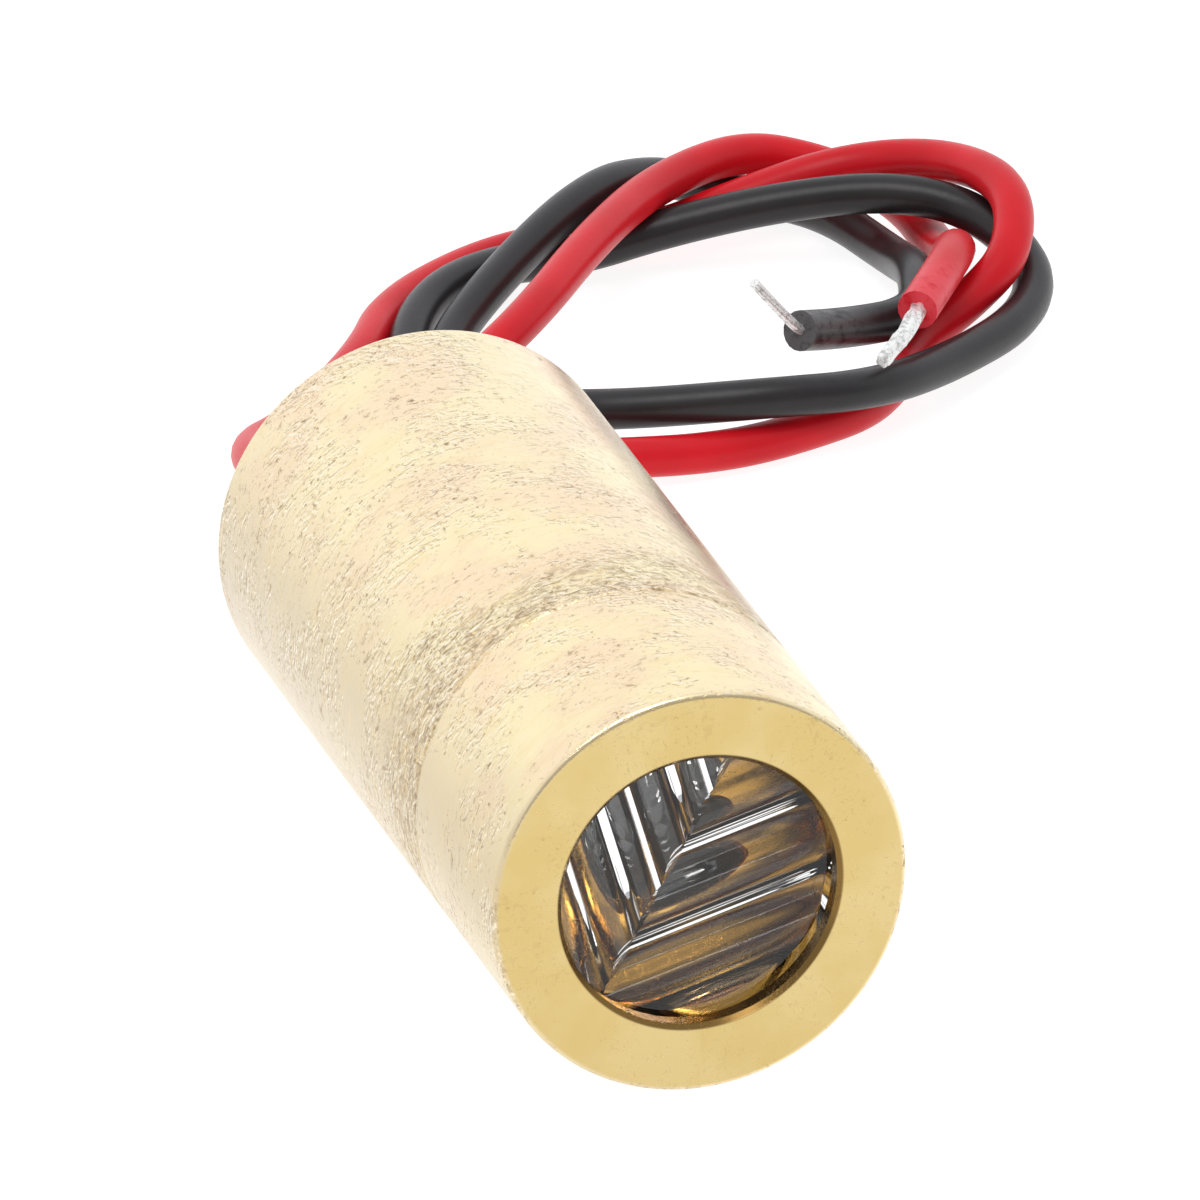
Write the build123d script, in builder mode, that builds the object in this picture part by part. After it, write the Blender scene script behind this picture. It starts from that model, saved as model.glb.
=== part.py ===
from build123d import *
import os
from math import ceil, pi, radians, sqrt, tan

os.makedirs("parts", exist_ok=True)

# Cross-line laser diode module. It lies on its side: the origin is on the surface under the middle of
# the barrel, the beam leaves along -Y and the leads leave at the rear, along +Y.

# Barrel: its bore fits the diode's bush, and its length follows what stands in it
barrel_wall = 1.2
lip_width = 0.3
lip_thickness = 0.45
outer_edge_radius = 0.15
inner_edge_chamfer = 0.1
groove_station = 5.5
groove_width = 0.12
groove_depth = 0.03
fit_clearance = 0.02

# Cross-line lens, its ridges on the rear face
lens_thickness = 1.7
lens_turn = 16.0
ridge_pitch = 1.66
ridge_height = 0.42
crest_share = 0.4
upright_shift = -0.93
level_shift = -0.06
mitre_shift = -0.3

# Collimator, its cell and its spring
cell_gap = 1.75
cell_length = 3.0
cell_lip_thickness = 0.6
cell_lip_width = 0.3
tool_slot_width = 0.6
tool_slot_depth = 0.5
collimator_diameter = 4.0
collimator_rim_thickness = 1.0
collimator_front_rise = 0.35
collimator_rear_rise = 0.55
spring_wire_diameter = 0.3
spring_length = 3.7
spring_pitch = 0.8

# Laser diode and its bush
bush_length = 4.4
bush_wall = 0.46
base_diameter = 5.6
base_thickness = 1.2
base_notch = 0.5
cap_diameter = 3.56
cap_height = 2.3
cap_wall = 0.2
cap_flange_diameter = 4.4
cap_flange_thickness = 0.2
window_opening_diameter = 1.6
window_lap = 0.4
window_thickness = 0.25
pin_diameter = 0.45
pin_circle_diameter = 2.0
post_width = 1.2
post_height = 1.4
post_depth = 0.7

# Driver board behind the diode
board_gap = 1.8
board_clearance = 0.2
board_margin = 0.1
board_thickness = 0.8
pin_hole_clearance = 0.03
joint_diameter = 0.8
joint_height = 0.3
joint_taper = 35.0
transistor_size = (2.9, 1.3, 1.0)
transistor_edge = 0.15
chip_size = (1.6, 0.8, 0.45)
terminal_length = 0.3
terminal_rise = 0.03

# Leads and the resin seal round them
lead_diameter = 0.9
strip_length = 0.7
core_diameter = 0.28
seal_gap = 0.82
seal_thickness = 1.1
seal_recess = 0.5
seal_dish = 0.15
lead_hole_clearance = 0.02
pad_joint_diameter = 0.9
straight_exit = 1.6
arc_share = 0.45

# Radii that follow from the diode's base outwards
base_pocket_radius = base_diameter / 2 + fit_clearance
fitted_radius = base_pocket_radius + bush_wall
bore_radius = fitted_radius + fit_clearance
outer_radius = bore_radius + barrel_wall
mouth_radius = bore_radius - lip_width
board_radius = bore_radius - board_clearance

# Stations behind the front face, from the front to the rear
cell_station = lip_thickness + lens_thickness + cell_gap
cell_seat = cell_station + cell_lip_thickness
cell_rear = cell_station + cell_length
bush_front = cell_rear + spring_length
bush_rear = bush_front + bush_length
base_rear = bush_rear - fit_clearance
base_front = base_rear - base_thickness
cap_front = base_front - cap_height
board_front = base_rear + board_gap
board_rear = board_front + board_thickness
seal_front = board_rear + seal_gap
seal_rear = seal_front + seal_thickness
barrel_length = seal_rear + seal_recess

# Shared places
front_y = -barrel_length / 2
axis_height = outer_radius
lead_side = pin_circle_diameter / 2 + joint_diameter / 2 + pad_joint_diameter / 2
optical_axis = Axis((0, 0, axis_height), (0, 1, 0))
axial_plane = Plane(origin=(0, front_y, axis_height))


def station_plane(station):
    # cross plane at a distance behind the front face, facing the rear, its own y pointing down
    return Plane(origin=(0, front_y + station, axis_height), x_dir=(1, 0, 0), z_dir=(0, 1, 0))


def finish(builder, name):
    builder.part.label = name
    export_step(builder.part, f"parts/{name}.step")


# Barrel: one turned tube with a lip in front of the lens and a fine line turned in its side
with BuildPart() as barrel:
    with BuildSketch(axial_plane):
        with BuildLine():
            Polyline(
                (mouth_radius, inner_edge_chamfer),
                (mouth_radius + inner_edge_chamfer, 0),
                (outer_radius - outer_edge_radius, 0),
            )
            RadiusArc(
                (outer_radius - outer_edge_radius, 0), (outer_radius, outer_edge_radius), -outer_edge_radius
            )
            Polyline(
                (outer_radius, outer_edge_radius),
                (outer_radius, groove_station),
                (outer_radius - groove_depth, groove_station + groove_width / 2),
                (outer_radius, groove_station + groove_width),
                (outer_radius, barrel_length - outer_edge_radius),
            )
            RadiusArc(
                (outer_radius, barrel_length - outer_edge_radius),
                (outer_radius - outer_edge_radius, barrel_length),
                -outer_edge_radius,
            )
            Polyline(
                (outer_radius - outer_edge_radius, barrel_length),
                (bore_radius + inner_edge_chamfer, barrel_length),
                (bore_radius, barrel_length - inner_edge_chamfer),
                (bore_radius, lip_thickness),
                (mouth_radius, lip_thickness),
                (mouth_radius, inner_edge_chamfer),
            )
        make_face()
    revolve(axis=optical_axis)
finish(barrel, "barrel")

# Cross-line lens: two ridged sectors that meet on a mitre, the upright ridges to the upper left and the
# level ridges to the lower right, where the crests of one sector run into the valleys of the other
lens_side = Vector(1, 0, 0).rotate(Axis.Y, -lens_turn)
lens_plane = Plane(origin=(0, front_y + lip_thickness, axis_height), x_dir=lens_side, z_dir=(0, 1, 0))
lens_down = lens_plane.y_dir
mitre_plane = Plane(lens_plane.origin + lens_side * mitre_shift, z_dir=-lens_side - lens_down)
ridge_count = ceil(bore_radius / ridge_pitch) + 1
crest_width = crest_share * ridge_pitch
joint_depth = lens_thickness - crest_share * ridge_height
valley_depth = lens_thickness - ridge_height


def ridged_sector(across, shift, kept):
    # slab with a wavy rear face of crest and valley arcs, cut off at the mitre
    section_plane = Plane(lens_plane.origin, x_dir=across, z_dir=across.cross(lens_plane.z_dir))
    with BuildPart() as sector:
        with BuildSketch(section_plane):
            with BuildLine():
                for ridge in range(-ridge_count, ridge_count + 1):
                    crest = shift + ridge * ridge_pitch
                    valley = crest + ridge_pitch / 2
                    crest_start = crest - crest_width / 2
                    crest_end = crest + crest_width / 2
                    next_start = crest_start + ridge_pitch
                    ThreePointArc(
                        (crest_start, joint_depth), (crest, lens_thickness), (crest_end, joint_depth)
                    )
                    ThreePointArc((crest_end, joint_depth), (valley, valley_depth), (next_start, joint_depth))
                slab_start = shift - ridge_count * ridge_pitch - crest_width / 2
                Polyline(
                    (next_start, joint_depth), (next_start, 0), (slab_start, 0), (slab_start, joint_depth)
                )
            make_face()
        extrude(amount=2 * bore_radius, both=True)
        split(bisect_by=mitre_plane, keep=kept)
    return sector


upright_sector = ridged_sector(lens_side, upright_shift, Keep.TOP)
level_sector = ridged_sector(lens_down, level_shift, Keep.BOTTOM)
with BuildPart() as cross_line_lens:
    add(upright_sector.part)
    add(level_sector.part)
    with BuildSketch(lens_plane):
        Circle(fitted_radius)
    extrude(amount=lens_thickness, mode=Mode.INTERSECT)
finish(cross_line_lens, "cross_line_lens")

# Lens cell: ring with a front lip, a pocket for the collimator and two slots for a focusing tool
collimator_radius = collimator_diameter / 2
pocket_radius = collimator_radius + fit_clearance
aperture_radius = collimator_radius - cell_lip_width
with BuildPart() as lens_cell:
    with BuildSketch(axial_plane):
        with BuildLine():
            Polyline(
                (aperture_radius, cell_station),
                (fitted_radius, cell_station),
                (fitted_radius, cell_rear),
                (pocket_radius, cell_rear),
                (pocket_radius, cell_seat),
                (aperture_radius, cell_seat),
                close=True,
            )
        make_face()
    revolve(axis=optical_axis)
    with BuildSketch(station_plane(cell_station)):
        with PolarLocations(fitted_radius, 2):
            Rectangle(2 * (fitted_radius - pocket_radius), tool_slot_width)
    extrude(amount=tool_slot_depth, mode=Mode.SUBTRACT)
finish(lens_cell, "lens_cell")

# Collimator: biconvex lens whose front dome looks through the lip of its cell
dome_radius = aperture_radius - fit_clearance
rim_rear = cell_seat + collimator_rim_thickness
with BuildPart() as collimator_lens:
    with BuildSketch(axial_plane):
        with BuildLine():
            ThreePointArc(
                (-dome_radius, cell_seat), (0, cell_seat - collimator_front_rise), (dome_radius, cell_seat)
            )
            Polyline(
                (dome_radius, cell_seat),
                (collimator_radius, cell_seat),
                (collimator_radius, rim_rear),
                (dome_radius, rim_rear),
            )
            ThreePointArc(
                (dome_radius, rim_rear), (0, rim_rear + collimator_rear_rise), (-dome_radius, rim_rear)
            )
            Polyline(
                (-dome_radius, rim_rear),
                (-collimator_radius, rim_rear),
                (-collimator_radius, cell_seat),
                (-dome_radius, cell_seat),
            )
        make_face()
        split(bisect_by=Plane.YZ)
    revolve(axis=optical_axis)
finish(collimator_lens, "collimator_lens")

# Focus spring between the cell and the diode's bush
spring_start = cell_rear + spring_wire_diameter / 2 + fit_clearance
spring_rise = spring_length - spring_wire_diameter - 2 * fit_clearance
with BuildPart() as focus_spring:
    with BuildLine() as coil:
        Helix(
            pitch=spring_pitch,
            height=spring_rise,
            radius=(pocket_radius + fitted_radius) / 2,
            center=(0, front_y + spring_start, axis_height),
            direction=(0, 1, 0),
        )
    with BuildSketch(Plane(origin=coil.line @ 0, z_dir=coil.line % 0)):
        Circle(spring_wire_diameter / 2)
    sweep(is_frenet=True)
finish(focus_spring, "focus_spring")

# Diode bush: the base of the diode sits in its rear and the cap passes through its front
cap_passage_radius = cap_diameter / 2 + fit_clearance
flange_passage_radius = cap_flange_diameter / 2 + fit_clearance
flange_front = base_front - cap_flange_thickness
with BuildPart() as diode_bush:
    with BuildSketch(axial_plane):
        with BuildLine():
            Polyline(
                (cap_passage_radius, bush_front),
                (fitted_radius, bush_front),
                (fitted_radius, bush_rear),
                (base_pocket_radius, bush_rear),
                (base_pocket_radius, base_front),
                (flange_passage_radius, base_front),
                (flange_passage_radius, flange_front - fit_clearance),
                (cap_passage_radius, flange_front - fit_clearance),
                close=True,
            )
        make_face()
    revolve(axis=optical_axis)
finish(diode_bush, "diode_bush")

# Diode base: round header with two edge notches and the post that carries the chip
with BuildPart() as diode_base:
    with BuildSketch(station_plane(base_front)):
        Circle(base_diameter / 2)
        with PolarLocations(base_diameter / 2, 2):
            Rectangle(base_notch, base_notch, rotation=45, mode=Mode.SUBTRACT)
    extrude(amount=base_thickness)
    with BuildSketch(station_plane(base_front)):
        with Locations((0, post_depth / 2)):
            Rectangle(post_width, post_depth)
    extrude(amount=-post_height)
finish(diode_base, "diode_base")

# Diode cap: drawn can with a flange and a window opening
cap_radius = cap_diameter / 2
cap_inside_radius = cap_radius - cap_wall
opening_radius = window_opening_diameter / 2
with BuildPart() as diode_cap:
    with BuildSketch(axial_plane):
        with BuildLine():
            Polyline(
                (opening_radius, cap_front),
                (cap_radius, cap_front),
                (cap_radius, flange_front),
                (cap_flange_diameter / 2, flange_front),
                (cap_flange_diameter / 2, base_front),
                (cap_inside_radius, base_front),
                (cap_inside_radius, cap_front + cap_wall),
                (opening_radius, cap_front + cap_wall),
                close=True,
            )
        make_face()
    revolve(axis=optical_axis)
finish(diode_cap, "diode_cap")

# Window fused behind the opening of the cap
with BuildPart() as diode_window:
    with BuildSketch(station_plane(cap_front + cap_wall)):
        Circle(opening_radius + window_lap)
    extrude(amount=window_thickness)
finish(diode_window, "diode_window")

# Three pins from the base through the driver board
pin_length = board_gap + board_thickness + joint_height
pin_places = PolarLocations(pin_circle_diameter / 2, 3, start_angle=90)
with BuildPart() as diode_pins:
    with BuildSketch(station_plane(base_rear)):
        with pin_places:
            Circle(pin_diameter / 2)
    extrude(amount=pin_length)
finish(diode_pins, "diode_pins")

# Driver board: a round board soldered on the pins
with BuildPart() as driver_board:
    with BuildSketch(station_plane(board_front)):
        Circle(board_radius)
        with pin_places:
            Circle(pin_diameter / 2 + pin_hole_clearance, mode=Mode.SUBTRACT)
    extrude(amount=board_thickness)
finish(driver_board, "driver_board")

# Solder cones round the pins on the rear of the board
with BuildPart() as pin_solder:
    with BuildSketch(station_plane(board_rear)):
        with pin_places:
            Circle(joint_diameter / 2)
    extrude(amount=joint_height, taper=joint_taper)
    add(diode_pins.part, mode=Mode.SUBTRACT)
finish(pin_solder, "pin_solder")


def edge_place(length, width):
    # height above the axis at which a block of this length and width stands inside the board's edge
    return sqrt(board_radius**2 - (length / 2) ** 2) - width / 2 - board_margin


# Driver transistor on the front of the board
transistor_length, transistor_width, transistor_rise = transistor_size
with BuildPart() as driver_transistor:
    with BuildSketch(station_plane(board_front)):
        with Locations((0, -edge_place(transistor_length, transistor_width))):
            Rectangle(transistor_length, transistor_width)
    extrude(amount=-transistor_rise)
    chamfer(driver_transistor.faces().sort_by(Axis.Y)[0].edges(), transistor_edge)
finish(driver_transistor, "driver_transistor")


def board_chip(side):
    # small block with a raised metal cap at each end, on the rear of the board
    chip_length, chip_width, chip_rise = chip_size
    height = side * edge_place(chip_length, chip_width)
    with BuildPart() as chip:
        with BuildSketch(station_plane(board_rear)):
            with Locations((0, -height)):
                Rectangle(chip_length, chip_width)
        extrude(amount=chip_rise - terminal_rise)
        with BuildSketch(station_plane(board_rear)):
            with Locations((0, -height)):
                with GridLocations(chip_length - terminal_length, 0, 2, 1):
                    Rectangle(terminal_length, chip_width)
        extrude(amount=chip_rise)
    return chip


set_resistor = board_chip(-1)
finish(set_resistor, "set_resistor")
filter_capacitor = board_chip(1)
finish(filter_capacitor, "filter_capacitor")

# Leads: red on the left and black on the right, seen from the front
lead_start_y = front_y + board_rear + strip_length
lead_turn_y = barrel_length / 2 + straight_exit


def corner_radii(points):
    # every arc is as large as its two runs allow
    radii = []
    for before, corner, after in zip(points, points[1:], points[2:]):
        arriving = Vector(corner) - Vector(before)
        leaving = Vector(after) - Vector(corner)
        half_turn = radians(arriving.get_angle(leaving)) / 2
        radii.append(arc_share * min(arriving.length, leaving.length) / tan(half_turn))
    return radii


def tube_along(points, diameter):
    radii = corner_radii(points)
    with BuildPart() as tube:
        with BuildLine() as route:
            FilletPolyline(*points, radius=radii)
        with BuildSketch(Plane(origin=route.line @ 0, z_dir=route.line % 0)):
            Circle(diameter / 2)
        sweep()
    length = route.wire().length
    plain_volume = length * pi * diameter**2 / 4
    print("arc radii", [round(radius, 1) for radius in radii])
    print("length", round(length, 1), "volume ratio", round(tube.part.volume / plain_volume, 4))
    return tube


red_points = [
    # straight through the seal
    (-lead_side, lead_start_y, axis_height), (-lead_side, lead_turn_y, axis_height),
    # down to the surface
    (-1.4, 15.2, 3.9), (-0.7, 18.9, 2.4), (-0.1, 22.2, 1.0), (1.4, 24.9, 0.5),
    # back of the ring
    (4.1, 27.6, 0.6), (5.4, 30.2, 0.5), (7.9, 32.1, 0.5), (9.9, 32.7, 0.5),
    (12.1, 32.4, 0.5), (14.1, 32.4, 1.1), (16.5, 32.5, 1.6),
    # right end and front of the ring
    (18.4, 31.2, 2.1), (19.2, 28.4, 2.5), (18.6, 26.3, 1.8), (17.4, 25.6, 1.1),
    (15.6, 24.7, 0.5), (14.2, 22.0, 0.5), (11.8, 20.9, 0.5), (9.9, 20.5, 0.5),
    (7.6, 20.4, 0.7),
    # hidden turn behind the barrel
    (5.5, 21.2, 0.6), (4.7, 22.4, 0.9), (5.0, 24.1, 1.4), (7.1, 25.8, 1.9),
    # over the ring, round behind it and under it
    (9.8, 29.2, 2.0), (12.2, 32.4, 1.7), (14.7, 34.0, 1.6), (16.5, 33.8, 1.1),
    (17.9, 32.3, 0.7), (17.9, 29.0, 0.5),
    # free end
    (17.5, 27.0, 1.8), (16.6, 24.8, 2.4), (15.2, 22.7, 2.3),
]
red_end_points = [(14.6, 21.6, 2.3), (13.7, 20.6, 2.1)]
black_points = [
    # straight through the seal
    (lead_side, lead_start_y, axis_height), (lead_side, lead_turn_y, axis_height),
    # down to the surface
    (1.5, 15.2, 3.8), (1.2, 18.9, 2.2), (1.9, 22.4, 0.9), (4.5, 26.0, 0.5),
    # back of the ring
    (5.7, 29.1, 0.9), (7.7, 30.9, 0.9), (10.1, 31.5, 0.5), (12.3, 31.5, 0.9),
    (14.8, 31.0, 1.4), (17.0, 30.2, 1.7),
    # right end and front of the ring
    (18.6, 29.3, 1.5), (19.4, 27.2, 1.0), (18.5, 25.1, 0.7), (16.0, 22.8, 0.9),
    (13.6, 20.8, 1.4), (11.1, 20.6, 1.6), (8.8, 21.5, 1.3),
    # hidden turn behind the barrel
    (7.3, 22.3, 1.1), (5.8, 24.3, 0.5), (5.7, 26.6, 0.7),
    # over the ring, round behind it and under it
    (7.8, 29.3, 1.3), (10.7, 32.4, 1.8), (12.8, 34.1, 1.2), (14.5, 34.1, 0.5),
    (16.2, 32.8, 0.5), (16.9, 29.5, 0.5),
    # free end
    (16.3, 26.3, 1.7), (15.3, 23.7, 1.6), (13.7, 22.9, 1.8), (12.6, 22.9, 2.1),
]
black_end_points = [(12.2, 22.9, 2.3), (11.2, 22.0, 3.8)]
red_lead = tube_along(red_points, lead_diameter)
finish(red_lead, "red_lead")
black_lead = tube_along(black_points, lead_diameter)
finish(black_lead, "black_lead")

# Tinned strands at the free ends
red_tinned_end = tube_along([red_points[-1], *red_end_points], core_diameter)
finish(red_tinned_end, "red_tinned_end")
black_tinned_end = tube_along([black_points[-1], *black_end_points], core_diameter)
finish(black_tinned_end, "black_tinned_end")


def lead_core(side):
    # stripped strands from the pad on the board to the end of the insulation
    with BuildPart() as core:
        with BuildSketch(station_plane(board_rear)):
            with Locations((side, 0)):
                Circle(core_diameter / 2)
        extrude(amount=strip_length)
    return core


red_lead_core = lead_core(-lead_side)
finish(red_lead_core, "red_lead_core")
black_lead_core = lead_core(lead_side)
finish(black_lead_core, "black_lead_core")

# Solder domes round the strands on the pads
with BuildPart() as lead_solder:
    with BuildSketch(station_plane(board_rear)):
        with GridLocations(2 * lead_side, 0, 2, 1):
            Circle(pad_joint_diameter / 2)
    extrude(amount=joint_height, taper=joint_taper)
    add(red_lead_core.part, mode=Mode.SUBTRACT)
    add(black_lead_core.part, mode=Mode.SUBTRACT)
finish(lead_solder, "lead_solder")

# Resin seal: fills the rear of the bore round the leads, with a dished face
with BuildPart() as end_seal:
    with BuildSketch(axial_plane):
        with BuildLine():
            ThreePointArc((-fitted_radius, seal_rear), (0, seal_rear - seal_dish), (fitted_radius, seal_rear))
            Polyline(
                (fitted_radius, seal_rear),
                (fitted_radius, seal_front),
                (-fitted_radius, seal_front),
                (-fitted_radius, seal_rear),
            )
        make_face()
        split(bisect_by=Plane.YZ)
    revolve(axis=optical_axis)
    with BuildSketch(station_plane(seal_front)):
        with GridLocations(2 * lead_side, 0, 2, 1):
            Circle(lead_diameter / 2 + lead_hole_clearance)
    extrude(amount=seal_thickness, mode=Mode.SUBTRACT)
finish(end_seal, "end_seal")
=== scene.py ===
import math

import bpy
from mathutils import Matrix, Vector


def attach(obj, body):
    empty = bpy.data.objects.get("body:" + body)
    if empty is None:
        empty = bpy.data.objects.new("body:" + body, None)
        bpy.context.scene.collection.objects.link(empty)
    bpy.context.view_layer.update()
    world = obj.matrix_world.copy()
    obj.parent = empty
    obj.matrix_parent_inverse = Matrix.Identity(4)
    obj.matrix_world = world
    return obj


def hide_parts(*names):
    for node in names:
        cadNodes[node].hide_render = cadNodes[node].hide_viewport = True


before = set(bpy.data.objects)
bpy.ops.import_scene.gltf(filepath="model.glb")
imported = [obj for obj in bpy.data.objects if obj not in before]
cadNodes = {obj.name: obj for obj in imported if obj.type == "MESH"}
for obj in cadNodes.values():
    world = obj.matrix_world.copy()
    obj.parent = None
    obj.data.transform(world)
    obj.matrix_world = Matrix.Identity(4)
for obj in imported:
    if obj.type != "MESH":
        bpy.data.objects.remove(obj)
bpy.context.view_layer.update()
mm = 0.001
weld = 0.001 * mm
barrelAxis = Vector((0, 0, 4.5 * mm))  # a point on the optical axis, which runs along Y
frontY = -10 * mm
print("frame loaded:", len(cadNodes), "nodes")


# camera

cameraSet = {
    "place": (-0.19131, -0.61885, 0.29211),
    "azimuth": -17.256,
    "elevation": 23.762,
    "lens": 1012.1,
    "sensor": 36,
    "clip": (0.01, 20),
}


def makeCamera():
    c = cameraSet
    a, e = math.radians(c["azimuth"]), math.radians(c["elevation"])
    back = Vector((math.sin(a) * math.cos(e), -math.cos(a) * math.cos(e), math.sin(e)))
    bpy.ops.object.camera_add(location=c["place"])
    cam = bpy.context.object
    cam.name = "camera"
    cam.rotation_mode = "QUATERNION"
    cam.rotation_quaternion = (-back).to_track_quat("-Z", "Y")
    cam.data.sensor_width = c["sensor"]
    cam.data.lens = c["lens"]
    cam.data.clip_start, cam.data.clip_end = c["clip"]
    bpy.context.scene.camera = cam


makeCamera()
print("camera set")


# light and floor

studio = {
    "surround": (0.95, 0.97, 1.0, 1),
    "surroundStrength": 0.95,
    "backdropGain": 1.12,  # behind the object
    "backdropSpan": (0.1, 0.85),
    "frontShade": 0.55,  # the side that the camera stands on is darker
    "frontSpan": (-0.62, -0.3),
    "floorSize": 3,
    "floorColor": (0.26, 0.26, 0.26, 1),
    "floorGlow": 0.89,
    "floorRoughness": 0.9,
    "floorGloss": 0.1,
    "keyPlace": (-0.12, -0.16, 0.52),
    "keyPower": 0.9,
    "keySize": 0.3,
    "sparklePlace": (0.28, -0.52, 0.08),  # seen only in the lenses
    "sparklePower": 2.6,
    "sparkleSize": 0.2,
}


def newMaterial(name):
    mat = bpy.data.materials.new(name)
    mat.use_nodes = True
    tree = mat.node_tree
    tree.nodes.clear()
    out = tree.nodes.new("ShaderNodeOutputMaterial")
    bsdf = tree.nodes.new("ShaderNodeBsdfPrincipled")
    tree.links.new(bsdf.outputs[0], out.inputs["Surface"])
    return mat, tree, bsdf


def addNode(tree, kind, links=None, **values):
    node = tree.nodes.new(kind)
    for key, value in values.items():
        if hasattr(node, key):
            setattr(node, key, value)
        else:
            node.inputs[key.replace("_", " ")].default_value = value
    for key, socket in (links or {}).items():
        tree.links.new(socket, node.inputs[key])
    return node


def span(tree, value, ends, low, high):
    # maps a value between two ends to low and high
    return addNode(tree, "ShaderNodeMapRange", {"Value": value}, From_Min=ends[0], From_Max=ends[1],
                   To_Min=low, To_Max=high).outputs[0]


def areaLight(name, place, aim, size, power):
    bpy.ops.object.light_add(type="AREA", location=place)
    lamp = bpy.context.object
    lamp.name = name
    lamp.data.size = size
    lamp.data.energy = power
    lamp.visible_camera = False
    lamp.rotation_mode = "QUATERNION"
    lamp.rotation_quaternion = (Vector(aim) - Vector(place)).to_track_quat("-Z", "Y")
    return lamp


def makeSurround():
    world = bpy.data.worlds.new("studio")
    bpy.context.scene.world = world
    world.use_nodes = True
    tree = world.node_tree
    tent = tree.nodes["Background"]
    tent.inputs["Color"].default_value = studio["surround"]
    way = addNode(tree, "ShaderNodeTexCoord")
    parts = addNode(tree, "ShaderNodeSeparateXYZ", {"Vector": way.outputs["Generated"]})
    depth = parts.outputs["Y"]
    gain = span(tree, depth, studio["backdropSpan"], studio["surroundStrength"], studio["backdropGain"])
    room = span(tree, depth, studio["frontSpan"], studio["frontShade"], 1.0)
    both = addNode(tree, "ShaderNodeMath", {0: gain, 1: room}, operation="MULTIPLY")
    tree.links.new(both.outputs[0], tent.inputs["Strength"])


def makeFloor():
    bpy.ops.object.select_all(action="DESELECT")
    bpy.ops.mesh.primitive_plane_add(size=studio["floorSize"], location=(0, 0, 0))
    floor = bpy.context.object
    floor.name = "floor"
    mat, tree, bsdf = newMaterial("paleFloor")
    bsdf.inputs["Base Color"].default_value = studio["floorColor"]
    bsdf.inputs["Roughness"].default_value = studio["floorRoughness"]
    bsdf.inputs["Specular IOR Level"].default_value = studio["floorGloss"]
    bsdf.inputs["Emission Color"].default_value = (1, 1, 1, 1)
    bsdf.inputs["Emission Strength"].default_value = studio["floorGlow"]
    floor.data.materials.append(mat)


makeSurround()
makeFloor()
areaLight("keyLight", studio["keyPlace"], (0, 0, 0), studio["keySize"], studio["keyPower"])
bpy.context.scene.view_settings.view_transform = "Standard"
bpy.context.scene.view_settings.look = "None"
print("floor and light set")


# brass barrel

barrelSet = {
    "outerRadius": 4.5,
    "mouthRadius": 3.0,
    "boreRadius": 3.3,
    "length": 20.0,
    "lip": 0.45,
    "edgeRadius": 0.15,
    "innerChamfer": 0.1,
    "grooveStation": 5.5,
    "grooveWidth": 0.12,
    "grooveDepth": 0.03,
    "threadStart": 2.3,
    "threadEnd": 17.6,
    "threadPitch": 0.3,
    "threadDepth": 0.14,
    "steps": 160,
    "smoothAngle": 25,
}


def spunPiece(name, profile, steps):
    # profile: closed ring of (radius, station) in mm, spun round the optical axis
    bpy.ops.object.select_all(action="DESELECT")
    bpy.ops.mesh.primitive_circle_add(vertices=len(profile), radius=mm)
    piece = bpy.context.object
    piece.name = name
    for vert, (radius, station) in zip(piece.data.vertices, profile):
        vert.co = (radius * mm, frontY + station * mm, barrelAxis.z)
    bpy.ops.object.mode_set(mode="EDIT")
    bpy.ops.mesh.select_all(action="SELECT")
    bpy.ops.mesh.spin(steps=steps, angle=2 * math.pi, center=barrelAxis, axis=(0, 1, 0))
    bpy.ops.mesh.select_all(action="SELECT")
    bpy.ops.mesh.remove_doubles(threshold=weld)
    bpy.ops.mesh.normals_make_consistent(inside=False)
    bpy.ops.object.mode_set(mode="OBJECT")
    return piece


def smoothBy(piece, degrees):
    bpy.ops.object.select_all(action="DESELECT")
    piece.select_set(True)
    bpy.context.view_layer.objects.active = piece
    bpy.ops.object.shade_smooth_by_angle(angle=math.radians(degrees))


def edgeArc(centre, radius, first, last, count=6):
    points = []
    for i in range(count + 1):
        a = math.radians(first + (last - first) * i / count)
        points.append((centre[0] + radius * math.cos(a), centre[1] + radius * math.sin(a)))
    return points


def makeBarrel():
    b = barrelSet
    outer, edge = b["outerRadius"], b["edgeRadius"]
    groove = b["grooveStation"]
    profile = [(b["mouthRadius"], b["innerChamfer"]), (b["mouthRadius"] + b["innerChamfer"], 0)]
    profile += edgeArc((outer - edge, edge), edge, -90, 0)
    profile += [(outer, groove), (outer - b["grooveDepth"], groove + b["grooveWidth"] / 2)]
    profile += [(outer, groove + b["grooveWidth"])]
    profile += edgeArc((outer - edge, b["length"] - edge), edge, 0, 90)
    profile += [(b["boreRadius"] + b["innerChamfer"], b["length"])]
    profile += [(b["boreRadius"], b["length"] - b["innerChamfer"])]
    turns = int((b["threadEnd"] - b["threadStart"]) / b["threadPitch"])
    for turn in range(turns):
        station = b["threadEnd"] - turn * b["threadPitch"]
        profile.append((b["boreRadius"], station))
        profile.append((b["boreRadius"] + b["threadDepth"], station - b["threadPitch"] / 2))
    profile += [(b["boreRadius"], b["threadEnd"] - turns * b["threadPitch"])]
    profile += [(b["boreRadius"], b["lip"]), (b["mouthRadius"], b["lip"])]
    barrel = spunPiece("brassBarrel", profile, b["steps"])
    smoothBy(barrel, b["smoothAngle"])
    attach(barrel, "root")
    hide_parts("barrel")
    return barrel


barrelPiece = makeBarrel()
print("barrel:", len(barrelPiece.data.polygons), "faces")


# cross-line lens

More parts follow.
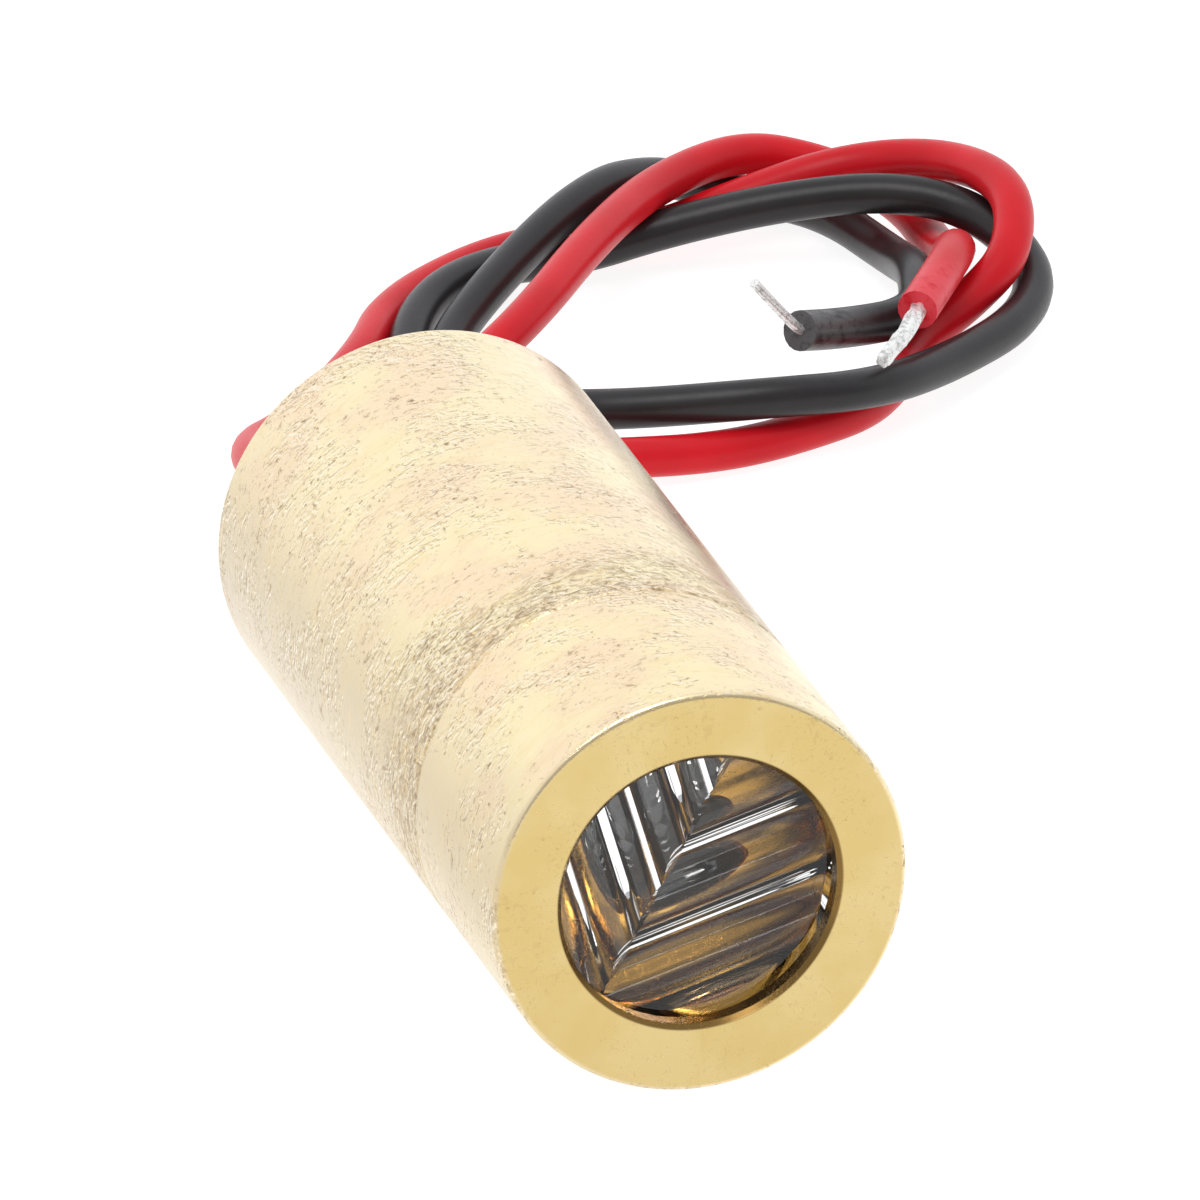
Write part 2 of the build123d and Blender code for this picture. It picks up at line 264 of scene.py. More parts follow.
lensSet = {
    "radius": 3.28,
    "front": 0.45,
    "thickness": 1.7,
    "turn": 16.0,
    "pitch": 1.66,
    "height": 0.42,
    "uprightShift": -0.93,
    "levelShift": -0.06,
    "mitreShift": -0.3,
    "mitreOverlap": 0.002,
    "crestShare": 0.4,
    "arcSteps": 14,
    "reach": 4.4,
    "rimSteps": 160,
    "smoothAngle": 24,
}


def arcThrough(x0, z0, x1, rise, count):
    # points of the arc from (x0, z0) to (x1, z0) whose middle stands off by rise
    half = (x1 - x0) / 2
    radius = (half * half + rise * rise) / (2 * abs(rise))
    sign = 1 if rise > 0 else -1
    points = []
    for i in range(count):
        x = -half + 2 * half * i / count
        z = math.sqrt(radius * radius - x * x) - (radius - abs(rise))
        points.append((x0 + half + x, z0 + sign * z))
    return points


def ridgeSection(shift):
    # convex crests and concave troughs in turn, closed by the flat front
    s = lensSet
    crest = s["crestShare"] * s["pitch"]
    crestRise = s["crestShare"] * s["height"]
    troughDrop = (1 - s["crestShare"]) * s["height"]
    joint = s["thickness"] - crestRise
    count = math.ceil(s["reach"] / s["pitch"]) + 1
    section = []
    for ridge in range(-count, count + 1):
        middle = shift + ridge * s["pitch"]
        left, right = middle - crest / 2, middle + crest / 2
        section += arcThrough(left, joint, right, crestRise, s["arcSteps"])
        following = middle + s["pitch"] - crest / 2
        section += arcThrough(right, joint, following, -troughDrop, s["arcSteps"])
    section.append((following, joint))
    return section + [(following, 0), (section[0][0], 0)]


def ridgedHalf(name, shift, across, along, middle, corner, outward):
    # one sector: ridges along one direction, cut off square at the mitre
    reach = 2 * lensSet["reach"] * mm
    section = ridgeSection(shift)
    bpy.ops.object.select_all(action="DESELECT")
    bpy.ops.mesh.primitive_circle_add(vertices=len(section), radius=mm)
    half = bpy.context.object
    half.name = name
    for vert, (x, depth) in zip(half.data.vertices, section):
        vert.co = middle + (across * x + Vector((0, 1, 0)) * depth) * mm - along * reach
    bpy.ops.object.mode_set(mode="EDIT")
    bpy.ops.mesh.select_all(action="SELECT")
    bpy.ops.mesh.edge_face_add()
    bpy.ops.mesh.extrude_region_move(TRANSFORM_OT_translate={"value": along * 2 * reach})
    bpy.ops.mesh.select_all(action="SELECT")
    bpy.ops.mesh.bisect(plane_co=corner, plane_no=outward, clear_outer=True, use_fill=True)
    bpy.ops.mesh.select_all(action="SELECT")
    bpy.ops.mesh.normals_make_consistent(inside=False)
    bpy.ops.object.mode_set(mode="OBJECT")
    return half


def cutWith(piece, tool, operation):
    bpy.context.view_layer.objects.active = piece
    cut = piece.modifiers.new("cut", "BOOLEAN")
    cut.operation = operation
    cut.solver = "EXACT"
    cut.object = tool
    bpy.ops.object.modifier_apply(modifier=cut.name)
    bpy.data.objects.remove(tool, do_unlink=True)


def makeLens():
    s = lensSet
    t = math.radians(s["turn"])
    across = Vector((math.cos(t), 0, math.sin(t)))  # across the upright ridges
    down = Vector((math.sin(t), 0, -math.cos(t)))  # along them, downwards
    middle = barrelAxis + Vector((0, frontY + s["front"] * mm, 0))
    corner = middle + across * s["mitreShift"] * mm
    mitre = (across + down).normalized()
    levelCorner = corner - mitre * s["mitreOverlap"] * mm
    lens = ridgedHalf("crossLineLens", s["uprightShift"], across, down, middle, corner, mitre)
    level = ridgedHalf("levelHalf", s["levelShift"], down, across, middle, levelCorner, -mitre)
    cutWith(lens, level, "UNION")
    bpy.ops.object.select_all(action="DESELECT")
    bpy.ops.mesh.primitive_cylinder_add(
        vertices=s["rimSteps"], radius=s["radius"] * mm, depth=2 * s["thickness"] * mm,
        location=middle + Vector((0, s["thickness"] * mm, 0)), rotation=(math.radians(90), 0, 0))
    trim = bpy.context.object
    bpy.ops.object.transform_apply(location=True, rotation=True, scale=True)
    cutWith(lens, trim, "INTERSECT")
    smoothBy(lens, s["smoothAngle"])
    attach(lens, "root")
    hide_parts("cross_line_lens")
    return lens


lensPiece = makeLens()
print("lens:", len(lensPiece.data.polygons), "faces")


# lens cell and collimator, seen through the cross-line lens

cellSet = {
    "station": 3.9,
    "length": 3.0,
    "lip": 0.6,
    "aperture": 1.7,
    "pocket": 2.02,
    "outer": 3.28,
    "edge": 0.08,
    "steps": 128,
    "smoothAngle": 25,
}
collimatorSet = {
    "radius": 2.0,
    "rim": 1.0,
    "frontDome": 0.35,
    "rearDome": 0.55,
    "domeGap": 0.02,  # to the cell's aperture
    "domeSteps": 24,
}


def makeCell():
    c = cellSet
    front, rear, seat = c["station"], c["station"] + c["length"], c["station"] + c["lip"]
    profile = [(c["aperture"], front + c["edge"]), (c["aperture"] + c["edge"], front)]
    profile += [(c["outer"] - c["edge"], front), (c["outer"], front + c["edge"])]
    profile += [(c["outer"], rear), (c["pocket"], rear), (c["pocket"], seat), (c["aperture"], seat)]
    cell = spunPiece("lensCell", profile, c["steps"])
    smoothBy(cell, c["smoothAngle"])
    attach(cell, "root")
    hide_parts("lens_cell")
    return cell


def domeArc(radius, rise, count):
    # (radius, height) pairs of a dome, from its middle to its foot
    ball = (radius ** 2 + rise ** 2) / (2 * rise)
    steps = [radius * i / count for i in range(count + 1)]
    return [(r, math.sqrt(ball ** 2 - r * r) - (ball - rise)) for r in steps]


def makeCollimator():
    c = collimatorSet
    seat = cellSet["station"] + cellSet["lip"]
    back = seat + c["rim"]
    domeRadius = cellSet["aperture"] - c["domeGap"]
    profile = [(r, seat - h) for r, h in domeArc(domeRadius, c["frontDome"], c["domeSteps"])]
    profile += [(c["radius"], seat), (c["radius"], back)]
    rearDome = domeArc(domeRadius, c["rearDome"], c["domeSteps"])
    profile += [(r, back + h) for r, h in reversed(rearDome)]
    lens = spunPiece("collimatorLens", profile, cellSet["steps"])
    smoothBy(lens, cellSet["smoothAngle"])
    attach(lens, "root")
    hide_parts("collimator_lens")
    return lens


def lightLenses(pieces):
    aim = (0, frontY, barrelAxis.z)
    lamp = areaLight("sparkle", studio["sparklePlace"], aim, studio["sparkleSize"], studio["sparklePower"])
    seen = bpy.data.collections.new("sparkleSeenIn")
    for piece in pieces:
        seen.objects.link(piece)
    lamp.light_linking.receiver_collection = seen


cellPiece = makeCell()
collimatorPiece = makeCollimator()
lightLenses([lensPiece, collimatorPiece])
print("cell and collimator made")


# leads

leadSet = {
    "diameter": 0.9 * mm,
    "exitSide": 1.85,
    "exitY": 9.5,
    "redPoints": [
        (-1.85, 8.28, 4.5), (-1.85, 11.6, 4.5), (-1.2, 15.2, 3.3), (-0.5, 18.9, 1.9), (-0.25, 22.4, 1.05),
        (1.55, 24.55, 0.5), (4.1, 27.6, 0.6), (5.4, 30.2, 0.5), (7.9, 32.1, 0.5), (9.9, 32.7, 0.5),
        (12.1, 32.4, 0.5), (14.1, 32.4, 1.1), (16.5, 32.5, 1.6), (18.4, 31.2, 2.1), (19.2, 28.4, 2.5),
        (18.6, 26.3, 1.8), (17.4, 25.6, 1.1), (15.6, 24.7, 0.5), (14.2, 22.0, 0.5), (11.8, 20.9, 0.5),
        (9.9, 20.5, 0.5), (7.6, 20.4, 0.7), (5.5, 21.2, 0.6), (4.9, 22.4, 0.9), (5.3, 24.1, 1.4),
        (7.35, 25.8, 1.9), (9.8, 29.2, 2.0), (12.2, 32.4, 1.7), (14.7, 34.0, 1.6), (16.5, 33.8, 1.1),
        (17.9, 32.3, 0.7), (17.9, 29.0, 0.5), (17.5, 27.0, 1.8), (16.6, 24.8, 2.4), (15.2, 22.7, 2.3),
    ],
    "blackPoints": [
        (1.85, 8.28, 4.5), (1.85, 11.6, 4.5), (1.6, 15.2, 3.8), (1.4, 18.9, 2.2), (2.15, 22.3, 0.9),
        (4.5, 26.0, 0.5), (5.7, 29.1, 0.9), (7.7, 30.9, 0.9), (10.1, 31.5, 0.6), (12.3, 31.5, 1.05),
        (14.8, 31.0, 1.55), (17.0, 30.2, 1.85), (18.6, 29.3, 1.6), (19.4, 27.2, 1.0), (18.5, 25.1, 0.7),
        (16.0, 22.8, 0.9), (13.6, 20.8, 1.4), (11.1, 20.6, 1.6), (8.8, 21.5, 1.3), (7.3, 22.3, 1.1),
        (5.8, 24.3, 0.5), (5.35, 26.6, 0.7), (7.6, 29.3, 1.3), (10.7, 32.4, 1.8), (12.8, 34.1, 1.2),
        (14.5, 34.1, 0.5), (16.2, 32.8, 0.5), (16.9, 29.5, 0.5), (16.4, 26.35, 1.55), (15.75, 24.3, 1.45),
        (13.75, 23.6, 1.65), (12.55, 22.8, 2.1),
    ],
    "redEnd": [(15.4, 22.99, 2.31), (15.2, 22.7, 2.3), (14.6, 21.6, 2.3), (13.75, 20.65, 2.1)],
    "blackEnd": [(12.85, 23.0, 1.98), (12.55, 22.8, 2.1), (12.3, 22.63, 2.4), (11.25, 22.03, 3.72)],
    "redLength": 0.0907,
    "blackLength": 0.0855,
    "routeSteps": 10,
    "roundSteps": 7,
    "weld": 0.0005 * mm,
    "endReach": 0.1 * mm,  # faces this near the route's end are the cut end
    "rimWidth": 0.06 * mm,
    "rimRise": 0.036 * mm,
    "rimDrop": 0.03 * mm,
    "hollow": 0.17 * mm,
    "hollowWall": 0.03 * mm,
    "hollowDepth": 0.2 * mm,
    "smoothAngle": 35,
}


def routeLine(name, points):
    # NURBS line with the route's points, and the points that it runs through
    line = bpy.data.curves.new(name, "CURVE")
    line.dimensions = "3D"
    spline = line.splines.new("NURBS")
    spline.points.add(len(points) - 1)
    for point, place in zip(spline.points, points):
        point.co = (place[0] * mm, place[1] * mm, place[2] * mm, 1)
    spline.order_u = 3
    spline.use_endpoint_u = True
    spline.resolution_u = leadSet["routeSteps"]
    route = bpy.data.objects.new(name, line)
    bpy.context.collection.objects.link(route)
    drawn = bpy.data.meshes.new_from_object(route)
    path = [vert.co.copy() for vert in drawn.vertices]
    bpy.data.meshes.remove(drawn)
    return route, path


def makeMesh(piece):
    bpy.ops.object.select_all(action="DESELECT")
    piece.select_set(True)
    bpy.context.view_layer.objects.active = piece
    bpy.ops.object.convert(target="MESH")
    return bpy.context.object


def makeLead(name, points):
    s = leadSet
    route, path = routeLine(name, points)
    route.data.bevel_depth = s["diameter"] / 2
    route.data.bevel_resolution = s["roundSteps"]
    route.data.use_fill_caps = True
    lead = makeMesh(route)
    bpy.ops.object.mode_set(mode="EDIT")
    bpy.ops.mesh.select_mode(type="FACE")
    bpy.ops.mesh.select_all(action="SELECT")
    bpy.ops.mesh.remove_doubles(threshold=s["weld"])
    bpy.ops.mesh.normals_make_consistent(inside=False)
    bpy.ops.mesh.select_all(action="DESELECT")
    bpy.ops.object.mode_set(mode="OBJECT")
    for face in lead.data.polygons:
        face.select = (face.center - path[-1]).length < s["endReach"]
    bpy.ops.object.mode_set(mode="EDIT")
    # cut end: a worn rim, then a hollow round the strands
    bpy.ops.mesh.inset(thickness=s["rimWidth"], depth=s["rimRise"])
    bpy.ops.mesh.inset(thickness=s["diameter"] / 2 - s["rimWidth"] - s["hollow"], depth=-s["rimDrop"])
    bpy.ops.mesh.inset(thickness=s["hollowWall"], depth=-s["hollowDepth"])
    bpy.ops.object.mode_set(mode="OBJECT")
    smoothBy(lead, s["smoothAngle"])
    return lead, path


def crossFrame(path, i):
    # two directions square to the path at a point
    ahead = (path[min(i + 1, len(path) - 1)] - path[max(i - 1, 0)]).normalized()
    sideways = ahead.cross(Vector((0, 0, 1))).normalized()
    return sideways, sideways.cross(ahead)


def makeStrands(name, node, points, t):
    # tinned strands: twisted round the route, then melted together
    route, path = routeLine(name, points)
    route.data.splines.clear()
    last = len(path) - 1
    for strand in range(t["strands"]):
        spline = route.data.splines.new("POLY")
        spline.points.add(last)
        for i, place in enumerate(path):
            share = i / last
            a = 2 * math.pi * (strand / t["strands"] + t["turns"] * share)
            swell = 1 + t["swell"] * math.sin(math.pi * share) - t["taper"] * share
            across, up = crossFrame(path, i)
            spot = place / mm + (across * math.cos(a) + up * math.sin(a)) * t["lay"] * swell
            spline.points[i].co = (*spot, 1)
    route.data.bevel_depth = t["strandRadius"]
    route.data.bevel_resolution = t["roundSteps"]
    route.data.use_fill_caps = True
    strands = makeMesh(route)
    for spot, size in t["drops"]:
        middle = path[round(spot * last)] / mm
        bpy.ops.mesh.primitive_ico_sphere_add(subdivisions=3, radius=size, location=middle)
        strands.select_set(True)
        bpy.context.view_layer.objects.active = strands
        bpy.ops.object.join()
    melt = strands.modifiers.new("melt", "REMESH")
    melt.mode = "VOXEL"
    melt.voxel_size = t["grain"]
    bpy.ops.object.modifier_apply(modifier=melt.name)
    flow = strands.modifiers.new("flow", "SMOOTH")
    flow.factor = t["flowFactor"]
    flow.iterations = t["flow"]
    bpy.ops.object.modifier_apply(modifier=flow.name)
    strands.scale = (mm, mm, mm)  # modelled in mm so far
    bpy.ops.object.transform_apply(location=True, rotation=True, scale=True)
    bpy.ops.object.shade_smooth()
    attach(strands, "root")
    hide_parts(node)
    return strands


redStrandSet = {
    "strands": 5,
    "strandRadius": 0.08,
    "lay": 0.1,
    "turns": 0.55,
    "swell": 0.3,
    "taper": 0.05,
    "drops": [(0.2, 0.15), (0.42, 0.19), (0.6, 0.17), (0.78, 0.2), (0.95, 0.18)],  # share of the way, radius
    "roundSteps": 4,
    "grain": 0.02,
    "flow": 5,
    "flowFactor": 0.5,
}
blackStrandSet = {
    "strands": 5,
    "strandRadius": 0.055,
    "lay": 0.07,
    "turns": 0.25,
    "swell": 0.0,
    "taper": 0.15,
    "drops": [(0.25, 0.12), (0.5, 0.1), (0.75, 0.105), (0.96, 0.09)],
    "roundSteps": 4,
    "grain": 0.015,
    "flow": 3,
    "flowFactor": 0.5,
}

redLead, redPath = makeLead("redLead", leadSet["redPoints"])
blackLead, blackPath = makeLead("blackLead", leadSet["blackPoints"])
redStrands = makeStrands("redStrands", "red_tinned_end", leadSet["redEnd"], redStrandSet)
blackStrands = makeStrands("blackStrands", "black_tinned_end", leadSet["blackEnd"], blackStrandSet)
for lead, path, node, slotName, side, length, strands in (
    (redLead, redPath, "red_lead", "red_insulation", -1, leadSet["redLength"], redStrands),
    (blackLead, blackPath, "black_lead", "black_insulation", 1, leadSet["blackLength"], blackStrands),
):
    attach(lead, "root")
    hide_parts(node)
print("leads laid:", len(redLead.data.polygons), "and", len(blackLead.data.polygons), "faces")


# node helpers

def newGroup(name, inputs, outputs):
    tree = bpy.data.node_groups.new(name, "ShaderNodeTree")
    for label, value in inputs.items():
        socket = tree.interface.new_socket(label, in_out="INPUT", socket_type="NodeSocketFloat")
        socket.default_value = value
    for label in outputs:
        tree.interface.new_socket(label, in_out="OUTPUT", socket_type="NodeSocketFloat")
    return tree, tree.nodes.new("NodeGroupInput"), tree.nodes.new("NodeGroupOutput")


def math2(tree, operation, a, b=None, clamp=False):
    node = tree.nodes.new("ShaderNodeMath")
    node.operation = operation
    node.use_clamp = clamp
    for i, value in enumerate((a, b)):
        if value is None:
            continue
        if isinstance(value, (int, float)):
            node.inputs[i].default_value = value
        else:
            tree.links.new(value, node.inputs[i])
    return node.outputs[0]


def times(tree, a, b):
    return math2(tree, "MULTIPLY", a, b)


def plus(tree, a, b):
    return math2(tree, "ADD", a, b)


def ramp(tree, value, ends):
    # soft step from 0 to 1 between two ends
    node = addNode(tree, "ShaderNodeMapRange", {"Value": value}, From_Min=ends[0], From_Max=ends[1])
    node.clamp = True
    node.interpolation_type = "SMOOTHSTEP"
    return node.outputs[0]


def noise(tree, vector, scale, detail=2.0, roughness=0.5, distortion=0.0):
    return addNode(tree, "ShaderNodeTexNoise", {"Vector": vector}, Scale=scale, Detail=detail,
                   Roughness=roughness, Distortion=distortion).outputs["Fac"]


def mixColor(tree, fac, a, b):
    node = tree.nodes.new("ShaderNodeMix")
    node.data_type = "RGBA"
    for index, value in ((0, fac), (6, a), (7, b)):
        if isinstance(value, (tuple, float, int)):
            node.inputs[index].default_value = value
        else:
            tree.links.new(value, node.inputs[index])
    return node.outputs[2]


def stretched(tree, vector, scale, shift=(0, 0, 0)):
    return addNode(tree, "ShaderNodeMapping", {"Vector": vector}, Scale=scale, Location=shift).outputs[0]


def objectPlace(tree):
    return addNode(tree, "ShaderNodeTexCoord").outputs["Object"]


def addBump(tree, bsdf, height, strength, depth):
    bump = addNode(tree, "ShaderNodeBump", {"Height": height}, Strength=strength, Distance=depth)
    tree.links.new(bump.outputs[0], bsdf.inputs["Normal"])


# brass

wearShadingSet = {
    # where, in mm of radius and of station behind the face
    "axis": (0, 10, -4.5),
    "sideFrom": (4.36, 4.46),
    "mouthFrom": (3.14, 3.08),
    "wallFrom": (3.5, 3.42),
    "wallStart": (0.3, 0.4),
    "seatEnd": (2.3, 2.1),
    # noise: scale, detail, roughness, distortion
    "patchNoise": (0.42, 3, 0.55),
    "fieldNoise": (0.55, 3, 0.62),
    "fieldShift": (11, 5, 2),
    "crumbled": (0.4, 0.62),
    "speckNoise": (7.5, 4, 0.62),
    "specks": (0.59, 0.7),
    "speckFields": (0.36, 0.6),
    "dashStretch": (2.7, 4.0, 3),
    "dashNoise": (1.4, 5, 0.66, 1.2),
    "dashes": (0.56, 0.72),
    "dashPatches": (0.44, 0.6),
    "bandStretch": (0.5, 5.0, 3),
    "bandShift": (7, 3, 1),
    "bandFrontNoise": (0.8, 3),
    "bandFrontWander": 0.9,
    "bandFront": (5.85, 6.1),
    "bandRearNoise": (0.4, 3),
    "bandRearWander": 4.4,
    "bandRear": (10.8, 8.0),
    "scuffNoise": (1.0, 6, 0.72, 1.4),
    "scuffs": (0.45, 0.66),
    "goldStretch": (1.4, 3, 3),
    "goldShift": (3, 9, 4),
    "goldNoise": (0.9, 5, 0.66, 1.0),
    "gold": (0.46, 0.68),
    "goldFields": 0.8,
    "dentNoise": (1.35, 5, 0.64, 1.0),
    "dentStep": (0.09, 0.16, 0),
    "dentBand": 0.6,
    "dentDepth": 0.8,
    # painted light and shade on the two sides of small dents
    "dentLight": (0.02, 0.12),
    "dentShade": (-0.03, -0.14),
    "dentShadeShare": 0.5,
    "faceDepth": 0.15,  # share of the dents' depth left on the face
}


def turnedWearAndShading():
    # wear of turned brass round the optical axis, in mm: specks, dashes along the turning, a scuffed band;
    # painted light and shade on small dents
    w = wearShadingSet
    labels = ["Tone", "MarksAndDentShade", "Gold", "DentLight", "Side", "Bore", "Seat", "Turn", "Height"]
    tree, given, out = newGroup("turnedWearAndShading", {"Specks": 1.0, "Dashes": 1.0, "Band": 1.0}, labels)
    inMm = stretched(tree, objectPlace(tree), (1 / mm, 1 / mm, 1 / mm), w["axis"])
    x, station, z = addNode(tree, "ShaderNodeSeparateXYZ", {"Vector": inMm}).outputs
    turn = times(tree, math2(tree, "ARCTAN2", x, z), barrelSet["outerRadius"])
    radius = math2(tree, "SQRT", plus(tree, times(tree, x, x), times(tree, z, z)))
    side = ramp(tree, radius, w["sideFrom"])
    wall = times(tree, ramp(tree, radius, w["wallFrom"]), ramp(tree, station, w["wallStart"]))
    bore = math2(tree, "MAXIMUM", ramp(tree, radius, w["mouthFrom"]), wall)
    wrapped = addNode(tree, "ShaderNodeCombineXYZ", {"X": turn, "Y": station, "Z": radius}).outputs[0]
    dashWay = stretched(tree, wrapped, w["dashStretch"])
    patches = noise(tree, wrapped, *w["patchNoise"])
    fields = noise(tree, stretched(tree, wrapped, (1, 1, 1), w["fieldShift"]), *w["fieldNoise"])
    specks = ramp(tree, noise(tree, wrapped, *w["speckNoise"]), w["specks"])
    specks = times(tree, specks, ramp(tree, fields, w["speckFields"]))
    dashes = ramp(tree, noise(tree, dashWay, *w["dashNoise"]), w["dashes"])
    dashes = times(tree, dashes, ramp(tree, patches, w["dashPatches"]))
    # the band's edges wander
    bandWay = stretched(tree, wrapped, w["bandStretch"], w["bandShift"])
    frontWander = times(tree, noise(tree, bandWay, *w["bandFrontNoise"]), w["bandFrontWander"])
    rearWander = times(tree, noise(tree, wrapped, *w["bandRearNoise"]), w["bandRearWander"])
    frontEdge = plus(tree, station, frontWander)
    rearEdge = plus(tree, station, rearWander)
    band = times(tree, ramp(tree, frontEdge, w["bandFront"]), ramp(tree, rearEdge, w["bandRear"]))
    scuffs = times(tree, ramp(tree, noise(tree, dashWay, *w["scuffNoise"]), w["scuffs"]), band)
    goldWay = stretched(tree, wrapped, w["goldStretch"], w["goldShift"])
    gold = ramp(tree, noise(tree, goldWay, *w["goldNoise"]), w["gold"])
    gold = times(tree, gold, math2(tree, "ADD", times(tree, fields, w["goldFields"]), band, clamp=True))
    # painted light and shade: one side of each small dent is painted lighter, the other darker
    dents = noise(tree, dashWay, *w["dentNoise"])
    beside = noise(tree, stretched(tree, wrapped, w["dashStretch"], w["dentStep"]), *w["dentNoise"])
    dented = plus(tree, ramp(tree, fields, w["crumbled"]), times(tree, band, w["dentBand"]))
    slope = times(tree, math2(tree, "SUBTRACT", dents, beside), dented)
    dentShade = times(tree, ramp(tree, slope, w["dentShade"]), w["dentShadeShare"])
    # the marks take in the painted shade on the dark side of each dent
    marksAndDentShade = plus(tree, times(tree, specks, given.outputs["Specks"]),
                times(tree, plus(tree, dashes, dentShade), given.outputs["Dashes"]))
    marksAndDentShade = math2(tree, "ADD", marksAndDentShade, times(tree, scuffs, given.outputs["Band"]), clamp=True)
    height = math2(tree, "SUBTRACT", times(tree, dents, w["dentDepth"]), marksAndDentShade)
    depth = plus(tree, times(tree, side, 1 - w["faceDepth"]), w["faceDepth"])
    values = [patches, marksAndDentShade, gold, ramp(tree, slope, w["dentLight"]), side, bore,
              ramp(tree, station, w["seatEnd"]), turn, times(tree, height, depth)]
    for label, value in zip(labels, values):
        tree.links.new(value, out.inputs[label])
    return tree


brassSet = {
    "cream": (0.955, 0.815, 0.505, 1),
    "rose": (0.935, 0.735, 0.49, 1),
    "toneRange": (0.38, 0.62),
    "paintedShade": (0.62, 0.51, 0.325, 1),  # painted shade down the left side, and less of it below
    "shadeTurn": (-3.4, -6.4),  # mm round the barrel from its top
    "shadeShare": 0.97,
    "lowTurn": (-7.0, -9.0),
    "lowShare": 0.45,
    "gold": (0.8, 0.57, 0.22, 1),
    "goldShare": 0.55,
    # painted highlight on the lit side of small dents
    "glint": (1.0, 0.93, 0.8, 1),
    "glintShare": 0.6,
    "darkReflectionStreak": (0.2, 0.15, 0.1, 1),  # painted dark reflection along the upper right side, broken up
    "streakFrom": (2.7, 3.5),
    "streakTo": (4.6, 3.6),
    "streakTone": (0.3, 0.62),
    "streakShare": 0.26,
    # colour of the marks, and of the painted shade on small dents
    "markAndDentShade": (0.36, 0.24, 0.13, 1),
    "face": (0.665, 0.495, 0.2, 1),
    "faceTone": (0.7, 0.545, 0.25, 1),
    "bore": (0.51, 0.285, 0.06, 1),
    "seat": (0.22, 0.13, 0.04, 1),  # painted shade on the wall round the lens
    "sideMarksAndShade": 0.88,
    "faceMarksAndShade": 0.11,
    "roughness": 0.22,
    "markRoughness": 0.5,
    "bump": 0.35,
    "bumpDepth": 0.03 * mm,
}


def barrelBrass():
    b = brassSet
    mat, tree, bsdf = newMaterial("turnedBrass")
    group = tree.nodes.new("ShaderNodeGroup")
    group.node_tree = turnedWearAndShading()
    wearAndShading = group.outputs
    tone = ramp(tree, wearAndShading["Tone"], b["toneRange"])
    sideColor = mixColor(tree, tone, b["cream"], b["rose"])
    # painted shade down the left side, with less of it low on the left
    low = times(tree, ramp(tree, wearAndShading["Turn"], b["lowTurn"]), b["lowShare"])
    left = times(tree, ramp(tree, wearAndShading["Turn"], b["shadeTurn"]), b["shadeShare"])
    sideColor = mixColor(tree, math2(tree, "SUBTRACT", left, low), sideColor, b["paintedShade"])
    sideColor = mixColor(tree, times(tree, wearAndShading["Gold"], b["goldShare"]), sideColor, b["gold"])
    # painted highlight on the lit side of each small dent
    sideColor = mixColor(tree, times(tree, wearAndShading["DentLight"], b["glintShare"]), sideColor, b["glint"])
    # painted dark reflection along the upper right side
    darkReflectionStreak = times(tree, ramp(tree, wearAndShading["Turn"], b["streakFrom"]), ramp(tree, wearAndShading["Turn"], b["streakTo"]))
    darkReflectionStreak = times(tree, darkReflectionStreak, ramp(tree, wearAndShading["Tone"], b["streakTone"]))
    sideColor = mixColor(tree, times(tree, darkReflectionStreak, b["streakShare"]), sideColor, b["darkReflectionStreak"])
    faceColor = mixColor(tree, tone, b["face"], b["faceTone"])
    color = mixColor(tree, wearAndShading["Side"], faceColor, sideColor)
    # painted shade on the bore wall round the lens
    boreColor = mixColor(tree, wearAndShading["Seat"], b["bore"], b["seat"])
    color = mixColor(tree, wearAndShading["Bore"], color, boreColor)
    share = span(tree, wearAndShading["Side"], (0, 1), b["faceMarksAndShade"], b["sideMarksAndShade"])
    # marks, with painted shade on the dark side of each small dent
    color = mixColor(tree, times(tree, wearAndShading["MarksAndDentShade"], share), color, b["markAndDentShade"])
    tree.links.new(color, bsdf.inputs["Base Color"])
    rough = span(tree, wearAndShading["MarksAndDentShade"], (0, 1), b["roughness"], b["markRoughness"])
    tree.links.new(rough, bsdf.inputs["Roughness"])
    addBump(tree, bsdf, wearAndShading["Height"], b["bump"], b["bumpDepth"])
    bsdf.inputs["Metallic"].default_value = 1
    return mat


# clear lenses and window

clearSet = {
    "cloudNoise": (500, 3),
    "cloudRange": (0.35, 0.65),
    "hazeNoise": (2500, 3),
    "hazeRange": (0.55, 1),
    "haze": 0.05,
    "acrylic": dict(color=(1, 1, 1, 1), second=(0.98, 0.975, 0.96, 1), ior=1.49),
    # the collimator's dark tint is painted shade, standing in for the unlit inside behind it
    "shadeTintedGlass": dict(color=(0.14, 0.14, 0.15, 1), second=(0.09, 0.09, 0.1, 1), ior=1.75),
    "window": dict(color=(0.95, 0.97, 0.97, 1), second=(0.92, 0.95, 0.95, 1), ior=1.5),
}


def clearMaterial(name, glass):
    # a slightly cloudy tint and a faint haze in spots
    c = clearSet
    mat, tree, bsdf = newMaterial(name)
    place = objectPlace(tree)
    cloud = ramp(tree, noise(tree, place, *c["cloudNoise"]), c["cloudRange"])
    tree.links.new(mixColor(tree, cloud, glass["color"], glass["second"]), bsdf.inputs["Base Color"])
    haze = span(tree, noise(tree, place, *c["hazeNoise"]), c["hazeRange"], 0, c["haze"])
    tree.links.new(haze, bsdf.inputs["Roughness"])
    bsdf.inputs["Transmission Weight"].default_value = 1
    bsdf.inputs["IOR"].default_value = glass["ior"]
    return mat


# pieces inside, on their CAD meshes

